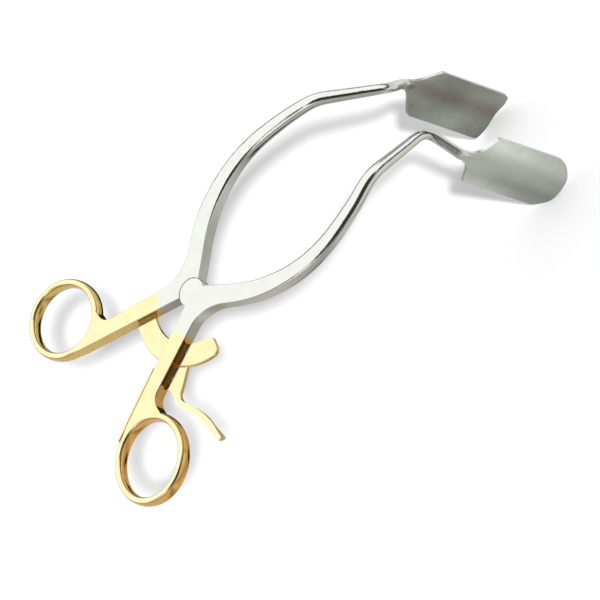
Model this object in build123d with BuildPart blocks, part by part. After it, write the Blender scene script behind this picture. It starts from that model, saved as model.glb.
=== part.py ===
from build123d import *
import math
import os

# Self-retaining ring-handled retractor, millimetres.
# Origin: on the lock's pivot axis, in the handles' top face.
# +X towards the blades, +Y towards the left half, +Z out of the handles' top face.
# Heights are measured from mid thickness of the handles; level() turns them into planes.
# "Shank" coordinates are (s, n): s along the shank from the pivot, n outwards from its
# inner edge.

LEFT, RIGHT = 1, -1         # side of a half: the sign of its y

# ---- forged halves -----------------------------------------------------------
bar_t = 5.0                 # thickness at lock, shanks and rings
half_t = bar_t / 2
mid_z = -half_t             # mid thickness
edge_r = 0.35               # edge break on the flat shanks
lap_gap = 0.02              # each half's lap face stands this far from mid thickness
disc_r = 5.5                # lock disc
disc_gap = 0.10             # radial gap between disc and its seat
shank_angle = 157.2         # polar angle of the left shank's inner edge

# ---- fits --------------------------------------------------------------------
tight_fit = 0.01            # radial, around rivets, lever pin and screw thread
free_fit = 0.04             # radial, where a part turns or is let in
pocket_fit = 0.02           # above and below the bar's root
blind_gap = 0.05            # beyond the end of a rivet, pin or screw
overrun = 0.5               # cutters start this far outside the face

# ---- finger rings ------------------------------------------------------------
ring_c = (-48.68, 38.40)    # centre, left half
ring_a, ring_b = 15.83, 14.40       # semi-axes of the mid path
ring_rot = 115.6            # direction of the long axis
ring_flat = 1.2             # width of the flat on top
ring_bulge = 0.95           # how far each side bulges beyond the flat
ring_lap = 0.3              # the shank plate reaches this far inside the mid path
ring_clear_r = 15.2         # edges nearer the ring's centre lie inside the ring

# ---- ratchet bar and its rivets ----------------------------------------------
bar_ri, bar_ro = 19.0, 27.4         # inner radius, tooth tips
tooth_h, tooth_pitch = 0.70, 2.1    # depth (mm) and pitch (degrees)
tooth_root_r = bar_ro - tooth_h
bar_z0, bar_z1 = -1.50, 0.05
bar_root, bar_tip = 146.5, 259.5    # polar angles of the bar's two ends
first_tooth = 159.0
tip_plain = 7.0             # degrees without teeth before the tip
tip_edge_r = tooth_root_r + 0.35    # outer radius of that plain stretch
tip_round = 2.6
rivet_radii, rivet_angle = (21.2, 25.0), 152.2      # places about the pivot
rivet_r, rivet_z1 = 0.9, 1.2

# Slot through the right shank for bar and lever
slot_s0, slot_s1 = 17.3, 35.7
slot_n0, slot_n1 = -3, 12
slot_clear = 0.15

# ---- release lever and its pin -----------------------------------------------
lever_z0, lever_z1 = -1.47, 0.02
pin_s, pin_n = 30.2, 3.9    # shank coordinates
pin_r, pin_z1 = 1.1, 1.2
hub_r = 2.35
nose_r = 27.45
nose_teeth, nose_tooth_0 = 6, 12.6  # count, and angle of the first from the shank's edge
nose_root_r, nose_cut_r = 27.2, 28.05   # radii of the notches' triangles

# ---- pivot screw -------------------------------------------------------------
screw_r, head_r, screw_top = 1.75, 3.3, 2.05
screw_chamfer = 0.25
head_top = -half_t + head_r - screw_r   # the cone is at 45 degrees
driver_w, driver_deep, driver_angle = 0.8, 0.9, 35

# ---- leaf spring and its rivet -----------------------------------------------
spring_t = 1.05
spring_z = 2.25             # half height
spring_s0, spring_s1 = 30.6, 60.0
spring_seat = -0.14         # n of the outer face where it is riveted
spring_lift = -0.34         # n of the outer face along the free length
spring_rivet_s, spring_rivet_r = 56.6, 0.8
spring_rivet_n1 = 2.0       # n of its end in the shank
spring_cut_n = -3           # n where its hole starts
spring_head_r, spring_head_t, spring_head_taper = 1.5, 0.55, 25

# ---- blades ------------------------------------------------------------------
# Blade coordinates are (u, v): u across the blade, v down its length from the shoulder line.
blade_t = 1.3               # sheet thickness
blade_half_w = 10.5         # half the chord across the trough
blade_len = 42.6            # from the shoulder line to the middle of the far end
sag_neck, sag_far = 1.7, 3.6        # depth of the trough at the neck and at the far end
blade_o = (104.2, 20.2, mid_z - 40.9)   # middle of the chord at the shoulder line, left
blade_tilt = 9.9            # the length leans forward of straight down
band_reach = 12.2           # half chord of the sheet before it is trimmed
trim_margin = 3.0
neck_v = -10.2
tilt_sin, tilt_cos = math.sin(math.radians(blade_tilt)), math.cos(math.radians(blade_tilt))
blade_down = (tilt_sin, 0.0, -tilt_cos)
blade_across = (tilt_cos, 0.0, tilt_sin)

# Outline points (u, v); front is the +X side
blade_front = [(2.2, neck_v), (2.25, -8.9), (3.0, -6.4), (5.2, -3.6), (7.8, -1.35), (9.5, 0.25)]
blade_back = [(-2.2, neck_v), (-2.25, -9.0), (-3.2, -6.9), (-4.8, -5.3), (-7.1, -3.9),
              (-9.35, -2.3)]
blade_far = [(blade_half_w, 34.4), (9.65, 38.8), (6.6, 41.6), (0.0, blade_len)]
front_shoulder = [blade_front[-1], (10.25, 1.05), (blade_half_w, 2.1)]
back_shoulder = [(-blade_half_w, -0.4), (-10.15, -1.55), blade_back[-1]]

# Thickened root: distance beyond the neck, width, depth, offset towards the chord
root_stations = [(2.5, 3.9, 1.75, 0.2), (5.0, 3.2, 1.25, 0.0), (7.0, 2.4, 0.8, 0.0)]

# ---- plan outline of lock and shank, left half: (x, y) -------------------------
arm_joint = (12.0, 13.8)
arm_dir = (0.745, 0.667)
arm_w0 = 7.2
joint_in = (arm_joint[0] + arm_dir[1] * arm_w0 / 2, arm_joint[1] - arm_dir[0] * arm_w0 / 2)
joint_out = (arm_joint[0] - arm_dir[1] * arm_w0 / 2, arm_joint[1] + arm_dir[0] * arm_w0 / 2)
lock_bend = [joint_out, (6.4, 13.75), (3.2, 11.85), (0.2, 10.75), (-3.0, 10.25), (-7.3, 10.95)]
shank_out = [lock_bend[-1], (-15.75, 14.16), (-30.6, 19.85)]
notch = [shank_out[-1], (-33.6, 21.35), (-35.35, 24.3), (-35.5, 27.3), (-36.4, 30.3)]

# Shank coordinates: the inner edge eased into the ring
ring_ease = [(62.0, 2.4), (58.6, 0.85), (55.2, 0.17), (51.0, 0.0)]

# ---- arm centreline, left half -------------------------------------------------
# In the handles' plane (x, y) as far as the kink
arm_plan = [arm_joint, (16.0, 17.25), (20.0, 20.25), (27.5, 24.4), (35.0, 27.15), (42.5, 28.6),
            (50.0, 28.85), (57.5, 27.95), (65.0, 26.3), (72.0, 24.25)]
# Corners of the descent (x, y, height), rounded by Bezier curves
kink = (79.3, 21.9, 0.0)
crest = (100.3, 13.0, -15.9)
kink_start = (kink[0] - 4.6, kink[1] + 1.38)    # where the kink's curve begins
kink_dir = (0.955, -0.295)
kink_out, crest_reach, neck_reach = 4.8, 4.6, 1.9   # curve lengths either side of corners
neck_rise = 1.7             # last corner lies this far above the neck
neck_inset = 0.5            # the arm's end lies this far inwards of the sheet's middle

# Distance along the arm, width (in plane), depth (across plane), corner radius
arm_sizes = [(0, arm_w0, bar_t, 0.35), (6, 7.0, 5.0, 0.4), (16, 6.8, 4.95, 0.7),
             (32, 6.4, 4.85, 1.5), (47, 6.1, 4.8, 2.0), (60, 5.5, 4.75, 2.05),
             (72, 4.85, 4.4, 1.9), (84, 4.3, 3.9, 1.65), (98, 3.7, 3.5, 1.5),
             (110, 3.3, 3.7, 1.4), (122, 2.5, 4.1, 1.05), (200, 2.3, 4.3, 1.0)]
# Distances of the loft sections along the arm, and of the last ones back from its end
arm_stops = [2.5, 5, 10, 15, 22, 30, 38, 46, 54, 62, 68, 72, 75, 77.5, 80, 82.5, 85, 90, 95,
             98, 100.5, 103, 105.5, 108, 111, 115]
end_stops = [4.5, 3, 1.5, 0]
turn_start, turn_margin = 80, 4     # the sections turn between here and short of the end

# ---- lever outline: shank coordinates ------------------------------------------
lever_nose = [(math.sqrt(nose_r ** 2 - n * n), n) for n in (12.1, 9.0, 5.6)]
lever_hub = [(pin_s + hub_r * math.cos(math.radians(a)), pin_n + hub_r * math.sin(math.radians(a)))
             for a in (165, 200, 235, 270, 300)]
lever_heel = [(32.7, 1.5), (33.1, -0.05), (33.5, -0.27), (34.1, -0.27), (34.5, 0.1),
              (34.8, 3.0), (34.95, 8.3), (35.2, 9.9)]
tail_near = [(35.6, 15.7), (36.3, 17.4), (36.35, 20.4), (36.3, 24.1), (36.7, 28.7),
             (37.7, 33.2), (39.5, 37.6), (41.0, 41.0)]
tail_far = [(42.6, 40.2), (41.3, 36.6), (40.0, 32.4), (38.95, 28.2), (38.6, 24.0),
            (38.65, 19.6), (38.5, 16.6), (37.7, 14.3), (36.3, 12.2)]
tail_end = (42.2, 41.2)
nose_back = [(34.2, 14.7), (30.8, 13.9), (27.6, 12.95)]
# Thumb pad sections: s, n, width, depth below the lever's top
pad_stations = [(38.0, 29.0, 1.9, 1.5), (39.0, 32.8, 1.9, 2.2), (40.3, 36.4, 1.8, 3.3),
                (41.5, 39.6, 1.6, 4.4)]
pad_corner = 0.3
pad_across, pad_along = (0.95, -0.32), (0.32, 0.95)


# ---- places and planes ---------------------------------------------------------
shank_dir = (math.cos(math.radians(shank_angle)), math.sin(math.radians(shank_angle)))
shank_normal = (shank_dir[1], -shank_dir[0])    # left half, away from the right one
right_normal = Vector(shank_normal[0], -shank_normal[1], 0)
upright = Plane(origin=(0, 0, mid_z), x_dir=(1, 0, 0), z_dir=(0, -1, 0))   # through the pivot


def level(z):
    """Horizontal plane at height z above mid thickness."""
    return Plane.XY.offset(mid_z + z)


def polar(r, angle):
    return (r * math.cos(math.radians(angle)), r * math.sin(math.radians(angle)))


def on_shank(s, n, side=RIGHT):
    """Plan point, or direction, from shank coordinates."""
    return (s * shank_dir[0] + n * shank_normal[0],
            side * (s * shank_dir[1] + n * shank_normal[1]))


def along_shank(points, side=RIGHT):
    return [on_shank(s, n, side) for s, n in points]


def sided(points, side):
    """Plan points of the left half, mirrored for the right one."""
    return [(x, side * y) for x, y in points]


def spring_rivet_plane(n):
    """Plane across the spring rivet at n, facing into the right shank."""
    return Plane(origin=Vector(*on_shank(spring_rivet_s, n), mid_z),
                 x_dir=(0, 0, 1), z_dir=right_normal)


def blade_point(u, v, y):
    return Vector(blade_o[0] + u * blade_across[0] + v * blade_down[0], y,
                  blade_o[2] + u * blade_across[2] + v * blade_down[2])


rivet_places = [polar(r, rivet_angle) for r in rivet_radii]
pin_place = on_shank(pin_s, pin_n)


# ---- arm -----------------------------------------------------------------------
def arm_size(distance):
    """Width, depth and corner radius, interpolated from the table."""
    for (d0, *size0), (d1, *size1) in zip(arm_sizes, arm_sizes[1:]):
        if distance <= d1:
            k = (distance - d0) / (d1 - d0)
            return [p + k * (q - p) for p, q in zip(size0, size1)]
    return arm_sizes[-1][1:]


def arm_path(side):
    """The arm's centreline as one wire, from the lock to the blade's root."""
    neck_y = side * (blade_o[1] + sag_neck - neck_inset)
    kink_at = Vector(kink[0], side * kink[1], mid_z + kink[2])
    crest_at = Vector(crest[0], side * crest[1], mid_z + crest[2])
    corner = blade_point(0.0, neck_v - neck_rise, neck_y)
    end = blade_point(0.0, neck_v, neck_y)
    descent = (crest_at - kink_at).normalized()
    to_neck = (corner - crest_at).normalized()
    with BuildLine() as line:
        flat = Spline([(x, y, mid_z) for x, y in sided(arm_plan + [kink_start], side)],
                      tangents=[(x, y, 0) for x, y in sided([arm_dir, kink_dir], side)])
        bend = Bezier(flat @ 1, kink_at, kink_at + descent * kink_out)
        slope = Line(bend @ 1, crest_at - descent * crest_reach)
        turn = Bezier(slope @ 1, crest_at, crest_at + to_neck * crest_reach)
        drop = Line(turn @ 1, corner - to_neck * neck_reach)
        Bezier(drop @ 1, corner, end)
    return line.wires()[0]


def arm_stations(side):
    """Section planes and sizes beyond the arm's root.

    The planes turn as little as possible from one to the next; the last stretch is eased
    round so that the bar's depth ends across the blade.
    """
    path = arm_path(side)
    total = path.length
    stops = [d for d in arm_stops if d < total - 6] + [total - d for d in end_stops]
    depth = Vector(0, 0, 1)
    frames = []
    for d in stops:
        tangent = path.tangent_at(d / total)
        depth = (depth - tangent * depth.dot(tangent)).normalized()
        frames.append((d, path.position_at(d / total), tangent, depth))
    goal = Vector(*blade_across)
    end_tangent = frames[-1][2]
    full_turn = math.degrees(math.atan2(depth.cross(goal).dot(end_tangent), depth.dot(goal)))
    stations = []
    for d, origin, tangent, depth in frames:
        k = min(max((d - turn_start) / (total - turn_start - turn_margin), 0), 1)
        turned = depth.rotate(Axis((0, 0, 0), tangent), full_turn * k * k * (3 - 2 * k))
        plane = Plane(origin=origin, x_dir=turned.cross(tangent), z_dir=tangent)
        stations.append((plane, arm_size(d)))
    return stations


# ---- forged halves -------------------------------------------------------------
def shank_outline(side):
    Polyline(sided([(0.0, 0.0), (5.2, 1.9), joint_in, joint_out], side))
    Spline(sided(lock_bend, side),
           tangents=sided([(-arm_dir[0], -arm_dir[1]), (-0.935, 0.355)], side))
    Polyline(sided(shank_out, side))
    Spline(sided(notch, side), tangents=sided([(-0.9336, 0.3583), (-0.38, 0.925)], side))
    Polyline(sided([notch[-1], (-44.0, 24.5)], side) + [on_shank(*ring_ease[0], side)])
    Spline(along_shank(ring_ease, side), tangents=along_shank([(-0.91, -0.41), (-1.0, 0.0)], side))
    Line(on_shank(*ring_ease[-1], side), (0.0, 0.0))


def edges_to_break(part, side):
    """Outer edges of the flat faces, without the seat's arc, the ring's and the arm's joint."""
    faces = part.faces().sort_by(Axis.Z)
    low, high = faces[0].edges(), faces[-1].edges()
    seat, disc = (high, low) if side == LEFT else (low, high)
    picked = []
    for edge in list(disc) + list(seat.filter_by(GeomType.CIRCLE, reverse=True)):
        x, y = edge.center().X, edge.center().Y
        in_ring = math.hypot(x - ring_c[0], abs(y) - ring_c[1]) <= ring_clear_r
        at_joint = abs(math.hypot(x, y) - math.hypot(*arm_joint)) <= 0.4
        if edge.geom_type != GeomType.ELLIPSE and not in_ring and not at_joint:
            picked.append(edge)
    return picked


def ring_section_plane(line):
    edge = line.edges()[0]
    return Plane(origin=edge @ 0, x_dir=(edge % 0).cross(Vector(0, 0, 1)), z_dir=edge % 0)


def forged_half(side):
    """Ring, shank, half-thickness disc at the lock and arm, one forging without its holes.

    The left half's disc is the lower one, the right half's the upper one.
    """
    ring_at = (ring_c[0], side * ring_c[1])
    stations = arm_stations(side)
    seat_cut = half_t + 1 + lap_gap
    with BuildPart() as half:
        with BuildSketch(level(-half_t)):
            with BuildLine():
                shank_outline(side)
            make_face()
            Circle(disc_r)
            with Locations(ring_at):
                Ellipse(ring_a - ring_lap, ring_b - ring_lap, rotation=side * ring_rot,
                        mode=Mode.SUBTRACT)
        extrude(amount=bar_t)
        # seat for the other half's disc
        with BuildSketch(level(-lap_gap if side == LEFT else lap_gap - seat_cut)):
            Circle(disc_r + disc_gap)
        extrude(amount=seat_cut, mode=Mode.SUBTRACT)
        fillet(edges_to_break(half, side), edge_r)
        # finger ring
        with BuildLine(level(0)) as ring:
            EllipticalCenterArc(ring_at, ring_a, ring_b, 0, arc_size=360,
                                rotation=side * ring_rot)
        with BuildSketch(ring_section_plane(ring)):
            Rectangle(ring_flat, bar_t)
            with Locations((-ring_flat / 2, 0), (ring_flat / 2, 0)):
                Ellipse(ring_bulge, half_t)
        sweep(path=ring.wires()[0])
        # arm, grown from the plate's own end face
        joint = (arm_joint[0], side * arm_joint[1], mid_z)
        arm_sections = [half.faces().sort_by_distance(joint)[0]]
        for plane, (width, depth, corner) in stations:
            with BuildSketch(plane, mode=Mode.PRIVATE) as section:
                RectangleRounded(width, depth, corner)
            arm_sections.append(section.sketch.faces()[0])
        loft(sections=arm_sections)
    return half.part


def sector(r0, r1, a0, a1):
    """Closed outline of an annular sector about the pivot axis."""
    CenterArc((0, 0), r0, a0, a1 - a0)
    Line(polar(r0, a1), polar(r1, a1))
    CenterArc((0, 0), r1, a0, a1 - a0)
    Line(polar(r1, a0), polar(r0, a0))


def left_half():
    forging = forged_half(LEFT)
    with BuildPart() as half:
        add(forging)
        # countersunk screw hole, from below
        hole_r = screw_r + free_fit
        cone_top = head_top + 0.02
        with BuildSketch(level(-half_t - overrun)):
            Circle(hole_r)
        extrude(amount=half_t + 2 * overrun, mode=Mode.SUBTRACT)
        with BuildSketch(upright):
            Polygon((0, -half_t - 0.1), (head_r + 0.16, -half_t - 0.1), (hole_r, cone_top),
                    (0, cone_top), align=None)
        revolve(axis=Axis.Z, mode=Mode.SUBTRACT)
        # pocket for the ratchet bar's root, open to the inner side
        with BuildSketch(level(bar_z0 - pocket_fit)):
            with BuildLine():
                sector(bar_ri - free_fit, tooth_root_r + free_fit, bar_root - 0.1,
                       shank_angle + 6)
            make_face()
        extrude(amount=bar_z1 - bar_z0 + 2 * pocket_fit, mode=Mode.SUBTRACT)
        # ratchet rivet holes, blind from below
        with BuildSketch(level(-half_t - overrun)):
            with Locations(*rivet_places):
                Circle(rivet_r + tight_fit)
        extrude(amount=half_t + overrun + rivet_z1 + blind_gap, mode=Mode.SUBTRACT)
    return half.part


def right_half():
    forging = forged_half(RIGHT)
    with BuildPart() as half:
        add(forging)
        # blind hole the pivot screw is threaded into
        with BuildSketch(level(-overrun)):
            Circle(screw_r + tight_fit)
        extrude(amount=overrun + screw_top + blind_gap, mode=Mode.SUBTRACT)
        # slot for the ratchet bar and the release lever
        with BuildSketch(level(bar_z0 - slot_clear)):
            with BuildLine():
                Polyline(along_shank([(slot_s0, slot_n0), (slot_s1, slot_n0), (slot_s1, slot_n1),
                                      (slot_s0, slot_n1), (slot_s0, slot_n0)]))
            make_face()
        extrude(amount=bar_z1 - bar_z0 + 2 * slot_clear, mode=Mode.SUBTRACT)
        # lever pin hole, blind from below
        with BuildSketch(level(-half_t - overrun)):
            with Locations(pin_place):
                Circle(pin_r + tight_fit)
        extrude(amount=half_t + overrun + pin_z1 + blind_gap, mode=Mode.SUBTRACT)
        # spring rivet hole, into the shank from its inner side
        with BuildSketch(spring_rivet_plane(spring_cut_n)):
            Circle(spring_rivet_r + tight_fit)
        extrude(amount=spring_rivet_n1 + 0.1 - spring_cut_n, mode=Mode.SUBTRACT)
    return half.part


# ---- lock and ratchet ----------------------------------------------------------
def pivot_screw():
    """Countersunk slotted head below, flush; shank up into the right half's disc."""
    with BuildPart() as screw:
        with BuildSketch(upright):
            Polygon((0, -half_t), (head_r, -half_t), (screw_r, head_top),
                    (screw_r, screw_top - screw_chamfer), (screw_r - screw_chamfer, screw_top),
                    (0, screw_top), align=None)
        revolve(axis=Axis.Z)
        with BuildSketch(level(-half_t - 0.1)):
            Rectangle(2 * head_r + 1, driver_w, rotation=driver_angle)
        extrude(amount=driver_deep + 0.1, mode=Mode.SUBTRACT)
    return screw.part


def ratchet_bar():
    """Arc about the pivot, saw teeth on its outer edge, its root in the left shank."""
    teeth = int((bar_tip - tip_plain - first_tooth) / tooth_pitch)
    teeth_end = first_tooth + teeth * tooth_pitch
    saw = []
    for i in range(teeth):
        angle = first_tooth + i * tooth_pitch
        saw += [polar(tooth_root_r, angle), polar(bar_ro, angle + 0.22 * tooth_pitch)]
    saw += [polar(tooth_root_r, teeth_end), polar(tip_edge_r, teeth_end)]
    tip_corners = [polar(bar_ri, bar_tip), polar(tip_edge_r, bar_tip)]
    with BuildPart() as bar:
        with BuildSketch(level(bar_z0)):
            with BuildLine():
                CenterArc((0, 0), bar_ri, bar_root, bar_tip - bar_root)
                Line(*tip_corners)
                CenterArc((0, 0), tip_edge_r, teeth_end, bar_tip - teeth_end)
                Polyline(saw[::-1])
                CenterArc((0, 0), tooth_root_r, bar_root, first_tooth - bar_root)
                Line(polar(tooth_root_r, bar_root), polar(bar_ri, bar_root))
            make_face()
        extrude(amount=bar_z1 - bar_z0)
        tip_edges = [edge for edge in bar.edges().filter_by(Axis.Z)
                     if any(math.hypot(edge.center().X - x, edge.center().Y - y) < 0.1
                            for x, y in tip_corners)]
        fillet(tip_edges, tip_round)
        with BuildSketch(level(bar_z0 - 1)):
            with Locations(*rivet_places):
                Circle(rivet_r + tight_fit)
        extrude(amount=4, mode=Mode.SUBTRACT)
    return bar.part


def studs(places, radius, top):
    """Plain round studs from the halves' underside up to a height."""
    with BuildPart() as stud:
        with BuildSketch(level(-half_t)):
            with Locations(*places):
                Circle(radius)
        extrude(amount=half_t + top)
    return stud.part


# ---- release lever -------------------------------------------------------------
def release_lever():
    """Toothed nose against the bar, hub on its pin, heel on the spring, tail for the thumb."""
    with BuildPart() as lever:
        with BuildSketch(level(lever_z0)):
            with BuildLine():
                ThreePointArc(*along_shank(lever_nose))
                Polyline(along_shank([lever_nose[-1], (27.55, 5.3)] + lever_hub + lever_heel
                                     + [tail_far[-1]]))
                Spline(along_shank(tail_far[::-1]))
                ThreePointArc(*along_shank([tail_far[0], tail_end, tail_near[-1]]))
                Spline(along_shank(tail_near[::-1]))
                Polyline(along_shank([tail_near[0]] + nose_back + [lever_nose[0]]))
            make_face()
            for i in range(nose_teeth):
                angle = nose_tooth_0 + i * tooth_pitch
                tooth_gap = [polar(nose_root_r, angle),
                             polar(nose_cut_r, angle + 0.15 * tooth_pitch),
                             polar(nose_root_r, angle + 0.9 * tooth_pitch),
                             polar(nose_root_r, angle)]
                with BuildLine():
                    Polyline(along_shank(tooth_gap))
                make_face(mode=Mode.SUBTRACT)
        extrude(amount=lever_z1 - lever_z0)
        # thumb pad: the tail deepens towards its end
        for s, n, width, depth in pad_stations:
            with BuildSketch(Plane(origin=Vector(*on_shank(s, n), mid_z + lever_z1 - depth / 2),
                                   x_dir=Vector(*on_shank(*pad_across), 0).normalized(),
                                   z_dir=Vector(*on_shank(*pad_along), 0).normalized())):
                RectangleRounded(width, depth, pad_corner)
        loft()
        with BuildSketch(level(lever_z0 - 1)):
            with Locations(pin_place):
                Circle(pin_r + free_fit)
        extrude(amount=4, mode=Mode.SUBTRACT)
    return lever.part


# ---- leaf spring ---------------------------------------------------------------
def leaf_spring():
    """Flat strip along the right shank's inner side, free end on the lever's heel."""
    outline = [(spring_s0, -0.42), (35.0, spring_lift), (52.5, spring_lift),
               (54.5, spring_seat), (spring_s1, spring_seat),
               (spring_s1, spring_seat - spring_t), (54.5, spring_seat - spring_t),
               (52.5, spring_lift - spring_t), (36.0, -0.36 - spring_t),
               (spring_s0, -1.15), (spring_s0, -0.42)]
    with BuildPart() as spring:
        with BuildSketch(level(-spring_z)):
            with BuildLine():
                Polyline(along_shank(outline))
            make_face()
        extrude(amount=2 * spring_z)
        with BuildSketch(spring_rivet_plane(spring_cut_n)):
            Circle(spring_rivet_r + tight_fit)
        extrude(amount=5, mode=Mode.SUBTRACT)
    return spring.part


def spring_rivet():
    """Round shank into the right half, tapered head on the spring's inner face."""
    head_n = spring_seat - spring_t - 0.01
    head_plane = Plane(origin=Vector(*on_shank(spring_rivet_s, head_n), mid_z),
                       x_dir=(0, 0, 1), z_dir=-right_normal)
    with BuildPart() as rivet:
        with BuildSketch(spring_rivet_plane(head_n)):
            Circle(spring_rivet_r)
        extrude(amount=spring_rivet_n1 - head_n)
        with BuildSketch(head_plane):
            Circle(spring_head_r)
        extrude(amount=spring_head_t, taper=spring_head_taper)
    return rivet.part


# ---- blades --------------------------------------------------------------------
def blade_outline():
    Spline(blade_front, tangents=[(0.0, 1.0), (0.72, 0.69)])
    ThreePointArc(*front_shoulder)
    Line(front_shoulder[-1], blade_far[0])
    Spline(blade_far, tangents=[(0, 1), (-1, 0)])
    Spline([(-u, v) for u, v in blade_far[::-1]], tangents=[(-1, 0), (0, -1)])
    Line((-blade_far[0][0], blade_far[0][1]), back_shoulder[0])
    ThreePointArc(*back_shoulder)
    Spline(blade_back[::-1], tangents=[(0.79, -0.61), (0, -1)])
    Line(blade_back[0], blade_front[0])


def blade_section_plane(v, side):
    """Across the blade at v; local x runs across it, local y towards -Y."""
    return Plane(origin=blade_point(0.0, v, side * blade_o[1]),
                 x_dir=blade_across, z_dir=blade_down)


def trough_depth(v):
    return sag_neck + (sag_far - sag_neck) * (v - neck_v) / (blade_len - neck_v)


def trough_band(v, side):
    """Outline of the sheet's section at v, a little wider than the blade."""
    sag = trough_depth(v)
    mid_r = (blade_half_w ** 2 + sag ** 2) / (2 * sag)
    angle = math.asin(band_reach / mid_r)
    outer, inner = [
        [(r * math.sin(k * angle), -side * (sag - mid_r + r * math.cos(k * angle)))
         for k in (-1, 0, 1)]
        for r in (mid_r + blade_t / 2, mid_r - blade_t / 2)]
    ThreePointArc(*outer)
    Line(outer[2], inner[2])
    ThreePointArc(*inner[::-1])
    Line(inner[0], outer[0])


def blade(side):
    """Trough-shaped sheet hanging below the handles' plane, with a thickened root."""
    end_plane, (end_width, end_depth, end_corner) = arm_stations(side)[-1]
    trim_y = side * (blade_o[1] + sag_far / 2) - sag_far / 2 - trim_margin
    with BuildPart() as sheet:
        for v in (neck_v, blade_len + 1):
            with BuildSketch(blade_section_plane(v, side)):
                with BuildLine():
                    trough_band(v, side)
                make_face()
        loft(ruled=True)
        # trim to the outline
        with BuildSketch(Plane(origin=(blade_o[0], trim_y, blade_o[2]),
                               x_dir=blade_across, z_dir=(0, 1, 0))):
            with BuildLine():
                blade_outline()
            make_face()
        extrude(amount=sag_far + 2 * trim_margin, mode=Mode.INTERSECT)
        # root, from the arm's end section down into the sheet
        with BuildSketch(end_plane):
            RectangleRounded(end_width, end_depth, end_corner)
        for beyond, width, depth, offset in root_stations:
            v = neck_v + beyond
            with BuildSketch(blade_section_plane(v, side)):
                with Locations((0, -side * (trough_depth(v) - offset))):
                    RectangleRounded(depth, width, depth * 0.42, rotation=90)
        loft()
    return sheet.part


# ---- output --------------------------------------------------------------------
os.makedirs("parts", exist_ok=True)
pieces = {
    "left_half": left_half(),
    "right_half": right_half(),
    "pivot_screw": pivot_screw(),
    "ratchet_bar": ratchet_bar(),
    "ratchet_rivets": studs(rivet_places, rivet_r, rivet_z1),
    "release_lever": release_lever(),
    "lever_pin": studs([pin_place], pin_r, pin_z1),
    "leaf_spring": leaf_spring(),
    "spring_rivet": spring_rivet(),
    "left_blade": blade(LEFT),
    "right_blade": blade(RIGHT),
}
for name, part in pieces.items():
    part.label = name
    export_step(part, f"parts/{name}.step")
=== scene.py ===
"""Looks and studio for a hinged, ratcheted steel instrument with two ring-handled halves.

The shanks run towards -X, the left one to +Y and the right one to -Y. The blades are near
x = 104 mm and reach down (-Z), leaning to +X. The pieces come from CAD; this script gives
them worn metal finishes, with painted shade and reflections in some of their colours, and
adds a camera, a floor, a sun and a studio sky.
"""
import math

import bpy
from mathutils import Matrix, Vector


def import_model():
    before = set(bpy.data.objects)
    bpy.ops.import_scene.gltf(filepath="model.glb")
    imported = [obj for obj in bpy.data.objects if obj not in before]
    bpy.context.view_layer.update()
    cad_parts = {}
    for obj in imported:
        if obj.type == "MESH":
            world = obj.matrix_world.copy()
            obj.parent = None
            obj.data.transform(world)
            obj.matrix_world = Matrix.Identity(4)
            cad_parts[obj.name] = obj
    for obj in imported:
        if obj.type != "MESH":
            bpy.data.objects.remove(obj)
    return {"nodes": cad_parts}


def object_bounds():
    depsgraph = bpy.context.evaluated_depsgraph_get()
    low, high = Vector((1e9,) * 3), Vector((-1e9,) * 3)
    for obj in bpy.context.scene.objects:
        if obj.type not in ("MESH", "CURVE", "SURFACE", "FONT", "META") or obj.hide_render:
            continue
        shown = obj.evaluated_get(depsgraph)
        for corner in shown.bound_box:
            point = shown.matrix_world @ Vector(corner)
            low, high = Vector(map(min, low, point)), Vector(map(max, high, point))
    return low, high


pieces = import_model()["nodes"]
cad_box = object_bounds()
scene = bpy.context.scene
MM = 0.001


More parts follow.
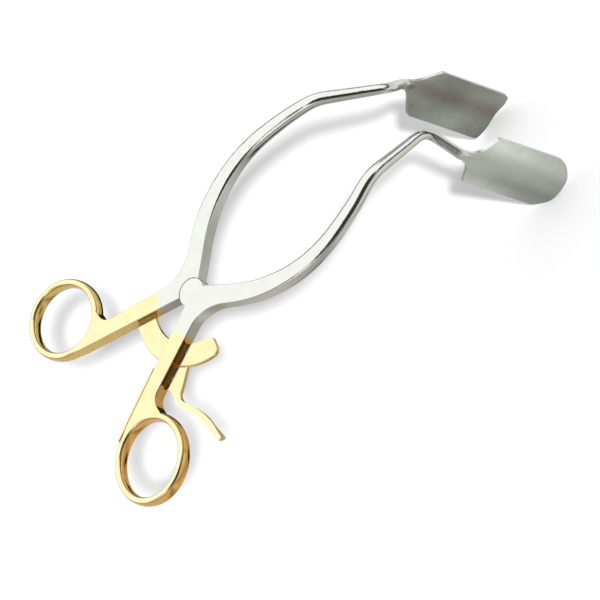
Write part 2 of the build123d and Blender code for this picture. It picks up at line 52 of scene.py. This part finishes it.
# ---- node helpers --------------------------------------------------------------
class Net:
    """A cleared node tree with short helpers."""

    def __init__(self, tree):
        self.tree = tree
        tree.nodes.clear()

    def node(self, kind, inputs=None, **settings):
        """A shader node; each input is linked if given a socket, or else set."""
        node = self.tree.nodes.new("ShaderNode" + kind)
        for name, value in settings.items():
            setattr(node, name, value)
        for key, value in (inputs or {}).items():
            socket = node.inputs[key]
            if isinstance(value, bpy.types.NodeSocket):
                self.tree.links.new(value, socket)
            elif socket.type == "RGBA":
                socket.default_value = (*value, 1)
            else:
                socket.default_value = value
        return node

    def math(self, op, a, b=0.0):
        return self.node("Math", {0: a, 1: b}, operation=op).outputs[0]

    def add(self, a, b):
        return self.math("ADD", a, b)

    def sub(self, a, b):
        return self.math("SUBTRACT", a, b)

    def mul(self, a, b):
        return self.math("MULTIPLY", a, b)

    def vary(self, value, pattern, by):
        """value + pattern * by"""
        return self.add(value, self.mul(pattern, by))

    def centred(self, pattern):
        """A 0..1 pattern moved to -0.5..0.5."""
        return self.sub(pattern, 0.5)

    def dot(self, a, b):
        return self.node("VectorMath", {0: a, 1: b}, operation="DOT_PRODUCT").outputs["Value"]

    def scale(self, colour, by):
        return self.node("VectorMath", {0: colour, 1: by}, operation="MULTIPLY").outputs[0]

    def ramp(self, value, low, high, start=0.0, end=1.0, kind="SMOOTHSTEP"):
        """Goes from start to end while value goes from low to high."""
        limits = {"From Min": low, "From Max": high, "To Min": start, "To Max": end}
        node = self.node("MapRange", {"Value": value, **limits}, interpolation_type=kind)
        return node.outputs["Result"]

    def mix(self, fac, a, b):
        """Colour a where fac is 0, b where it is 1."""
        return self.node("Mix", {0: fac, 6: a, 7: b}, data_type="RGBA").outputs[2]

    def mix_value(self, fac, a, b):
        return self.node("Mix", {0: fac, 2: a, 3: b}, data_type="FLOAT").outputs[0]

    def tint(self, colour, towards, mask, amount):
        return self.mix(self.mul(mask, amount), colour, towards)

    def bands(self, value, stops):
        """Soft colour bands from (position, colour) stops."""
        node = self.node("ValToRGB", {0: value})
        node.color_ramp.interpolation = "B_SPLINE"
        elements = node.color_ramp.elements
        while len(elements) < len(stops):
            elements.new(0.5)
        for element, (position, colour) in zip(elements, stops):
            element.position = position
            element.color = (*colour, 1)
        return node.outputs[0]


def new_material(name):
    material = bpy.data.materials.new(name)
    material.use_nodes = True
    return material


class Metal(Net):
    """A metal material's tree. Patterns and lengths inside are in mm."""

    def __init__(self, name):
        self.material = new_material(name)
        super().__init__(self.material.node_tree)
        metres = self.node("TexCoord").outputs["Object"]
        self.place = self.mapping(metres, scale=(1 / MM, 1 / MM, 1 / MM))

    def mapping(self, vector, scale=(1, 1, 1), rot=(0, 0, 0), loc=(0, 0, 0)):
        inputs = {"Vector": vector, "Scale": scale, "Rotation": rot, "Location": loc}
        return self.node("Mapping", inputs).outputs[0]

    def noise(self, scale, detail=3, rough=0.6, vector=None, distortion=0.0):
        return self.node("TexNoise", {
            "Vector": self.place if vector is None else vector,
            "Scale": scale, "Detail": detail, "Roughness": rough, "Distortion": distortion,
        }).outputs["Fac"]

    def specks(self, scale, inner, outer):
        """Small round dots: 1 inside the inner radius, 0 past the outer one."""
        cells = self.node("TexVoronoi", {"Vector": self.place, "Scale": scale})
        return self.ramp(cells.outputs["Distance"], inner, outer, start=1.0, end=0.0)

    def edges(self, radius):
        """1 on outer edges of the shape, 0 on its faces."""
        bevel = self.node("Bevel", {"Radius": radius * MM}, samples=4)
        same = self.dot(bevel.outputs[0], self.node("NewGeometry").outputs["Normal"])
        return self.ramp(self.sub(1.0, same), low=0.01, high=0.35)

    def recess(self, reach):
        """1 deep inside slots and tight corners, 0 on open faces."""
        ao = self.node("AmbientOcclusion", {"Distance": reach * MM}, samples=6)
        return self.ramp(ao.outputs["AO"], low=0.35, high=0.70, start=1.0, end=0.0)

    def scratches(self, angle, pitch, stretch, keep):
        """Thin, broken polishing lines running along one direction in plan."""
        vector = self.mapping(self.place, rot=(0.0, 0.0, -angle))
        vector = self.mapping(vector, scale=(pitch / stretch, pitch, pitch * 0.8))
        return self.ramp(self.noise(scale=1.0, detail=2, vector=vector), keep, keep + 0.05)

    def bump(self, height, depth, strength, under=None):
        """Raised relief, on top of an earlier bump if one is given."""
        inputs = {"Height": height, "Distance": depth * MM, "Strength": strength}
        if under is not None:
            inputs["Normal"] = under
        return self.node("Bump", inputs).outputs[0]

    def finish(self, colour, rough, normal):
        bsdf = self.node("BsdfPrincipled", {
            "Base Color": colour, "Roughness": rough, "Metallic": 1.0, "Normal": normal})
        self.node("OutputMaterial", {0: bsdf.outputs[0]})
        return self.material


# ---- polished metal --------------------------------------------------------------
# shank axis in plan (left half; the right one mirrors it)
SHANK = math.radians(157.2)
# distance along the shank where the gold plate starts, and half its soft border, mm
PLATE_FROM = 15.2
PLATE_BORDER = 1.8

GOLD = (0.765, 0.70, 0.42)
GOLD_DEEP = (0.755, 0.665, 0.36)
GOLD_WORN = (0.84, 0.785, 0.55)
GOLD_SCRATCH = (0.98, 0.86, 0.56)
# painted shade for slots and tight corners on the gold plate
SLOT_SHADE_COPPER = (0.98, 0.62, 0.26)
STEEL = (0.665, 0.675, 0.64)
STEEL_WARM = (0.635, 0.64, 0.60)
STEEL_EDGE = (0.76, 0.77, 0.745)
STEEL_SPECK = (0.45, 0.44, 0.41)
# painted shade for slots and tight corners on bare steel
SLOT_SHADE_GREY = (0.50, 0.49, 0.455)
SATIN_END = ((0.70, 0.72, 0.69), (0.63, 0.65, 0.62))
# painted shade and reflection: the two more coppery, slightly darker tones of gold on upright
# sides, more coppery still on the right half
SIDE_SHADE = ((0.82, 0.60, 0.235), (0.78, 0.52, 0.175))
SIDE_SHADE_RIGHT = ((0.88, 0.53, 0.175), (0.84, 0.43, 0.12))

# turn from the main polishing direction (rad), pitch, stretch, noise level above which a line shows
SCRATCHES = ((0.0, 5.0, 26.0, 0.63), (0.55, 4.0, 22.0, 0.66), (-0.9, 3.4, 30.0, 0.68))


def gold_look(n, wear, rough, side_shade):
    """Colour with painted shade on upright sides, roughness, and painted slot shade colour of the
    gold plate.
    """
    cloud, smear, edge, marks = wear
    normal = n.node("NewGeometry").outputs["Normal"]
    up = n.node("SeparateXYZ", {0: normal}).outputs["Z"]
    flat = n.ramp(n.math("ABSOLUTE", up), low=0.25, high=0.92)
    colour = n.mix(n.ramp(cloud, low=0.35, high=0.7), GOLD, GOLD_DEEP)
    # upright sides take the painted side shade tones instead of the gold
    colour = n.mix(flat, n.mix(n.ramp(smear, low=0.35, high=0.7), *side_shade), colour)
    colour = n.tint(colour, GOLD_WORN, edge, amount=0.55)
    colour = n.tint(colour, GOLD_SCRATCH, marks, amount=0.22)
    rough = n.mix_value(n.ramp(smear, low=0.3, high=0.75), rough, rough + 0.10)
    return colour, rough, SLOT_SHADE_COPPER


def steel_look(n, wear, rough):
    """Colour, roughness and painted slot shade colour of the bare steel."""
    cloud, smear, edge, _ = wear
    colour = n.mix(n.ramp(cloud, low=0.35, high=0.72), STEEL, STEEL_WARM)
    colour = n.tint(colour, STEEL_EDGE, edge, amount=0.6)
    speck = n.specks(scale=0.85, inner=0.02, outer=0.07)
    colour = n.tint(colour, STEEL_SPECK, speck, amount=0.12)
    rough = n.mix_value(n.ramp(smear, low=0.3, high=0.75), rough + 0.015, rough + 0.12)
    return colour, rough, SLOT_SHADE_GREY


def polished(name, lines, rough=0.085, plating="all", side=0, satin_end=None, side_shade=SIDE_SHADE):
    """Polished metal.

    lines: polishing direction in plan. plating: "all", "none", or "shank" for plate that
    starts part way along the shank on the given side (1 for +Y, -1 for -Y).
    satin_end: depths below z = 0 between which the polish turns to satin, mm.
    """
    n = Metal(name)
    cloud = n.noise(scale=0.16, detail=5)
    streaky = n.mapping(n.place, rot=(0, 0, 0.6), scale=(0.35, 1.0, 1.0))
    smear = n.noise(scale=0.55, detail=6, rough=0.65, vector=streaky, distortion=0.6)
    fine = n.noise(scale=3.2, detail=4)
    edge = n.edges(radius=0.22)
    first, second, third = (n.scratches(lines + turn, pitch, stretch, keep)
                            for turn, pitch, stretch, keep in SCRATCHES)
    marks = n.math("MAXIMUM", n.math("MAXIMUM", first, second), third)
    along = n.mapping(n.place, rot=(0, 0, -lines))
    grain = n.noise(scale=1.0, vector=n.mapping(along, scale=(0.25, 7.0, 7.0)))

    wear = cloud, smear, edge, marks
    if plating == "all":
        colour, r, slot_shade = gold_look(n, wear, rough, side_shade)
    elif plating == "none":
        colour, r, slot_shade = steel_look(n, wear, rough)
    else:
        gold = gold_look(n, wear, rough, side_shade)
        steel = steel_look(n, wear, rough)
        reach = n.dot(n.place, (math.cos(SHANK), side * math.sin(SHANK), 0.0))
        reach = n.vary(reach, n.centred(n.noise(scale=0.8)), by=1.6)
        plate = n.ramp(reach, PLATE_FROM - PLATE_BORDER, PLATE_FROM + PLATE_BORDER)
        colour = n.mix(plate, steel[0], gold[0])
        r = n.mix_value(plate, steel[1], gold[1])
        slot_shade = n.mix(plate, steel[2], gold[2])
    r = n.vary(r, marks, by=0.10)
    r = n.vary(r, edge, by=0.08)
    r = n.vary(r, n.centred(fine), by=0.05)
    # slots and tight corners are duller than the open faces, and their colour gets painted shade:
    # coppery on gold, darker grey on steel
    recess_dull_and_shade = n.recess(reach=3.5)
    r = n.mix_value(recess_dull_and_shade, r, n.vary(0.42, smear, by=0.2))
    colour = n.tint(colour, slot_shade, recess_dull_and_shade, amount=0.8)
    if satin_end:
        depth = n.mul(n.node("SeparateXYZ", {0: n.place}).outputs["Z"], -1.0)
        end = n.ramp(depth, *satin_end)
        r = n.mix_value(end, r, n.vary(0.30, fine, by=0.1))
        colour = n.mix(end, colour, n.mix(n.ramp(cloud, low=0.3, high=0.7), *SATIN_END))
    height = n.sub(n.mul(grain, 0.35), n.mul(marks, 0.8))
    height = n.vary(height, fine, by=0.3)
    waves = n.noise(scale=0.22, detail=2, rough=0.5)
    normal = n.bump(waves, depth=0.030, strength=0.5)
    normal = n.bump(height, depth=0.0022, strength=0.6, under=normal)
    return n.finish(colour, r, normal)


# ---- satin blades ----------------------------------------------------------------
# middle of the blade's chord at its shoulders (x, z), half the width the bands cover, mm
BLADE_X, BLADE_Z = 104.2, -43.400
BLADE_HALF = 10.5
BLADE_TILT = math.radians(9.9)
PATCH = (0.60, 0.575, 0.54)
PIT = (0.42, 0.42, 0.40)
BRIGHT_EDGE = (0.86, 0.875, 0.85)

# tones: the two base tones, darker on the left blade, which is painted shade; end_fade: brightness
# at the lower end;
# low_edge: edge colour below the shoulders; bands: painted reflection bands as (position, colour)
# across the blade, from its -X side to +X
LEFT_BLADE = dict(
    tones=((0.66, 0.68, 0.645), (0.58, 0.595, 0.565)),
    end_fade=0.66,
    low_edge=None,
    bands=[
        (0.0, (0.66, 0.66, 0.64)), (0.16, (0.90, 0.93, 0.88)), (0.30, (1.0, 1.03, 0.98)),
        (0.46, (0.76, 0.69, 0.68)), (0.62, (0.80, 0.70, 0.69)), (0.80, (1.12, 1.10, 1.07)),
        (1.0, (0.98, 0.97, 0.97))])
RIGHT_BLADE = dict(
    tones=((0.80, 0.83, 0.79), (0.725, 0.75, 0.71)),
    end_fade=0.74,
    low_edge=(0.46, 0.47, 0.45),
    bands=[
        (0.0, (0.95, 0.96, 0.97)), (0.12, (0.90, 0.93, 0.91)), (0.28, (0.66, 0.68, 0.64)),
        (0.46, (1.0, 1.0, 0.97)), (0.66, (0.74, 0.77, 0.78)), (0.84, (1.08, 1.08, 1.06)),
        (1.0, (0.80, 0.79, 0.79))])


def satin(name, tones, end_fade, low_edge, bands):
    """Bead-blasted steel with faint finishing lines along the blade and painted reflection bands
    down it.
    """
    n = Metal(name)
    cloud = n.noise(scale=0.11, detail=5)
    patch = n.noise(scale=0.35, detail=5, rough=0.65, distortion=0.8)
    grit = n.noise(scale=9.0, rough=0.7)
    pits = n.specks(scale=2.4, inner=0.04, outer=0.12)
    along = n.mapping(n.place, rot=(0, -BLADE_TILT, 0))
    drawn = n.mapping(along, scale=(4.5, 4.5, 0.10))
    lines = n.noise(scale=1.0, detail=4, rough=0.65, vector=drawn)
    edge = n.edges(radius=0.30)
    colour = n.mix(n.ramp(cloud, low=0.3, high=0.72), *tones)

    # painted reflection bands down the blade, darker towards its lower end
    local = n.mapping(n.place, loc=(-BLADE_X, 0, -BLADE_Z))
    across = n.dot(local, (math.cos(BLADE_TILT), 0.0, math.sin(BLADE_TILT)))
    down = n.dot(local, (math.sin(BLADE_TILT), 0.0, -math.cos(BLADE_TILT)))
    wander = n.noise(scale=1.0, vector=n.mapping(along, scale=(0.10, 0.10, 0.03)))
    across = n.vary(across, n.centred(wander), by=5.0)
    painted_reflections = n.bands(n.ramp(across, -BLADE_HALF, BLADE_HALF, kind="LINEAR"), bands)
    fade = n.mix_value(n.ramp(down, low=2.0, high=40.0), 1.0, end_fade)
    colour = n.scale(n.scale(colour, painted_reflections), fade)

    colour = n.tint(colour, PATCH, n.ramp(patch, low=0.5, high=0.75), amount=0.35)
    colour = n.tint(colour, PIT, pits, amount=0.05)
    bright = BRIGHT_EDGE
    if low_edge:
        bright = n.mix(n.ramp(down, low=0.5, high=4.0), bright, low_edge)
    colour = n.tint(colour, bright, edge, amount=0.75)
    r = n.mix_value(n.ramp(patch, low=0.3, high=0.75), 0.27, 0.37)
    r = n.vary(r, n.centred(lines), by=0.16)
    r = n.vary(r, pits, by=0.1)
    r = n.sub(r, n.mul(edge, 0.16))
    height = n.add(n.mul(grit, 0.7), n.mul(lines, 0.6))
    height = n.sub(height, n.mul(pits, 0.05))
    waves = n.noise(scale=0.18, detail=2, rough=0.5)
    normal = n.bump(waves, depth=0.04, strength=0.5)
    normal = n.bump(height, depth=0.006, strength=0.55, under=normal)
    return n.finish(colour, r, normal)


finishes = {
    "left_half": polished("forged_left", lines=SHANK, plating="shank", side=1,
                          satin_end=(23.0, 31.0)),
    "right_half": polished("forged_right", lines=-SHANK, plating="shank", side=-1,
                           satin_end=(26.0, 33.0), side_shade=SIDE_SHADE_RIGHT),
    "left_blade": satin("blade_satin_left", **LEFT_BLADE),
    "right_blade": satin("blade_satin_right", **RIGHT_BLADE),
    "ratchet_bar": polished("plated_bar", lines=1.1, rough=0.12),
    "release_lever": polished("plated_lever", lines=-1.0, rough=0.11),
    "leaf_spring": polished("plated_spring", lines=-SHANK, rough=0.10),
    "pivot_screw": polished("turned_screw", lines=0.4, rough=0.13, plating="none"),
    "ratchet_rivets": polished("plated_rivets", lines=0.2, rough=0.14),
    "lever_pin": polished("plated_pin", lines=0.9, rough=0.13),
    "spring_rivet": polished("plated_spring_rivet", lines=0.5, rough=0.13),
}
for piece, material in finishes.items():
    mesh = pieces[piece].data
    mesh.materials.clear()
    mesh.materials.append(material)
    for polygon in mesh.polygons:
        polygon.material_index = 0

# ---- camera ----------------------------------------------------------------------
# world to view: the rows are the view's right, down and forward; the shift is in mm
VIEW_TURN = Matrix(((0.6669524135940783, -0.45896895616353983, -0.5869599435048223),
                    (-0.7060742640004757, -0.6409162939578474, -0.30114022955348374),
                    (-0.23797817487580694, 0.6152835130388989, -0.7515268370891961)))
VIEW_SHIFT = Vector((-39.32967442641901, -2.870393814500077, 901.4188609022933)) * MM
# Blender's camera has +Y up and looks along -Z
FLIP = Matrix(((1, 0, 0), (0, -1, 0), (0, 0, -1)))

camera_data = bpy.data.cameras.new("camera")
camera = bpy.data.objects.new("camera", camera_data)
scene.collection.objects.link(camera)
eye = -(VIEW_TURN.transposed() @ VIEW_SHIFT)
camera_turn = VIEW_TURN.transposed() @ FLIP
camera.matrix_world = Matrix.Translation(eye) @ camera_turn.to_4x4()
camera_data.sensor_width = 36
camera_data.lens = 149.83586415197242
camera_data.clip_start = 0.05
camera_data.clip_end = 20
scene.camera = camera
to_camera = eye.normalized()

# ---- floor (metres) --------------------------------------------------------------
FLOOR_HALF = 4
FLOOR_GAP = 0.0005
FLOOR_SEEN = (0.985, 0.985, 0.99)
DARK_CARD = (0.012, 0.010, 0.008)
# what the metal reflects of the floor: (x, colour), tan and grey strips across X
CARDS = [
    (-0.14, (0.66, 0.64, 0.58)), (-0.10, (0.68, 0.66, 0.60)), (-0.082, (0.12, 0.115, 0.10)),
    (-0.058, (0.72, 0.70, 0.65)), (-0.034, (0.60, 0.59, 0.55)), (-0.012, (0.50, 0.485, 0.45)),
    (0.008, (0.42, 0.41, 0.385)), (0.030, (0.44, 0.435, 0.41)), (0.048, (0.50, 0.505, 0.48)),
    (0.070, (0.80, 0.81, 0.77)), (0.092, (0.36, 0.355, 0.335)), (0.110, (0.66, 0.67, 0.64)),
    (0.14, (0.98, 0.99, 0.95)), (0.20, (0.8, 0.8, 0.78))]


def floor_material():
    """Near white to the camera, coloured cards to every other ray, clear from below."""
    material = new_material("floor")
    n = Net(material.node_tree)
    place = n.node("SeparateXYZ", {0: n.node("TexCoord").outputs["Object"]})
    x, y = place.outputs["X"], place.outputs["Y"]

    def span(value, rise, fall):
        """1 between two soft borders."""
        return n.mul(n.ramp(value, *rise), n.ramp(value, *fall, start=0 + 1, end=0))

    first, last = CARDS[0][0], CARDS[-1][0]
    stops = [((at - first) / (last - first), colour) for at, colour in CARDS]
    strips = n.bands(n.ramp(x, first, last, kind="LINEAR"), stops)
    # two dark cards, one on each side of y = 0, give the ring sides deep streaks
    plus_y = n.mul(span(x, rise=(-0.042, -0.028), fall=(0.016, 0.032)),
                   n.ramp(y, low=0.022, high=0.034))
    minus_y = n.mul(span(x, rise=(-0.030, -0.020), fall=(0.020, 0.032)),
                    span(y, rise=(-0.066, -0.058), fall=(-0.036, -0.026)))
    reflected = n.mix(n.math("MAXIMUM", plus_y, minus_y), strips, DARK_CARD)
    to_eye = n.node("LightPath").outputs["Is Camera Ray"]
    diffuse = n.node("BsdfDiffuse", {0: n.mix(to_eye, reflected, FLOOR_SEEN)})
    below = n.node("NewGeometry").outputs["Backfacing"]
    clear = n.node("BsdfTransparent")
    shader = n.node("MixShader", {0: below, 1: diffuse.outputs[0], 2: clear.outputs[0]})
    n.node("OutputMaterial", {0: shader.outputs[0]})
    return material


floor_z = cad_box[0].z - FLOOR_GAP
corners = [(x * FLOOR_HALF, y * FLOOR_HALF, floor_z)
           for x, y in ((-1, -1), (1, -1), (1, 1), (-1, 1))]
floor_mesh = bpy.data.meshes.new("floor")
floor_mesh.from_pydata(corners, [], [(0, 1, 2, 3)])
floor = bpy.data.objects.new("floor", floor_mesh)
scene.collection.objects.link(floor)
floor_mesh.materials.append(floor_material())

# ---- light -----------------------------------------------------------------------
# the sun stands just left of and above the camera, as seen in the view
SUN_LEFT, SUN_UP = 0.024, 0.036

sun_data = bpy.data.lights.new("key", "SUN")
sun_data.energy = 2.15
sun_data.angle = math.radians(4)
sun = bpy.data.objects.new("key", sun_data)
scene.collection.objects.link(sun)
to_sun = to_camera - camera_turn.col[0] * SUN_LEFT + camera_turn.col[1] * SUN_UP
sun.rotation_mode = "QUATERNION"
sun.rotation_quaternion = to_sun.normalized().to_track_quat("Z", "Y")
sun.visible_glossy = False

# dark spots in the sky: direction, and angles (degrees) where each starts and is full
CAMERA_SPOT = (tuple(to_camera), 40, 29)
SIDE_SPOTS = (((0.90, -0.37, 0.22), 20, 10), ((-0.64, -0.26, 0.72), 24, 14))
SIDE_DARKNESS = 0.9
SPOT_DARKNESS = 0.97
DIFFUSE_CUT = 0.39  # share of the sky kept from diffuse light


def studio_sky(tree):
    n = Net(tree)
    towards = n.node("TexCoord").outputs["Generated"]

    def spot(direction, outer, inner):
        return n.ramp(n.dot(towards, direction),
                      math.cos(math.radians(outer)), math.cos(math.radians(inner)))

    # dim towards the horizon
    z = n.node("SeparateXYZ", {0: towards}).outputs["Z"]
    sky = n.ramp(z, low=0.08, high=0.40, start=0.05, end=1.40)
    dark = spot(*CAMERA_SPOT)
    for side_spot in SIDE_SPOTS:
        dark = n.math("MAXIMUM", dark, n.mul(spot(*side_spot), SIDE_DARKNESS))
    level = n.mul(sky, n.sub(1.0, n.mul(dark, SPOT_DARKNESS)))
    ray = n.node("LightPath").outputs
    soft = n.mul(level, n.sub(1.0, n.mul(ray["Is Diffuse Ray"], DIFFUSE_CUT)))
    strength = n.mix_value(ray["Is Camera Ray"], soft, 1.0)
    background = n.node("Background", {"Color": (1.0, 1.0, 1.0), "Strength": strength})
    n.node("OutputWorld", {0: background.outputs[0]})


world = bpy.data.worlds.new("studio")
scene.world = world
world.use_nodes = True
studio_sky(world.node_tree)

scene.cycles.max_bounces = 14
scene.cycles.glossy_bounces = 10
scene.view_settings.view_transform = "Standard"
scene.view_settings.look = "None"
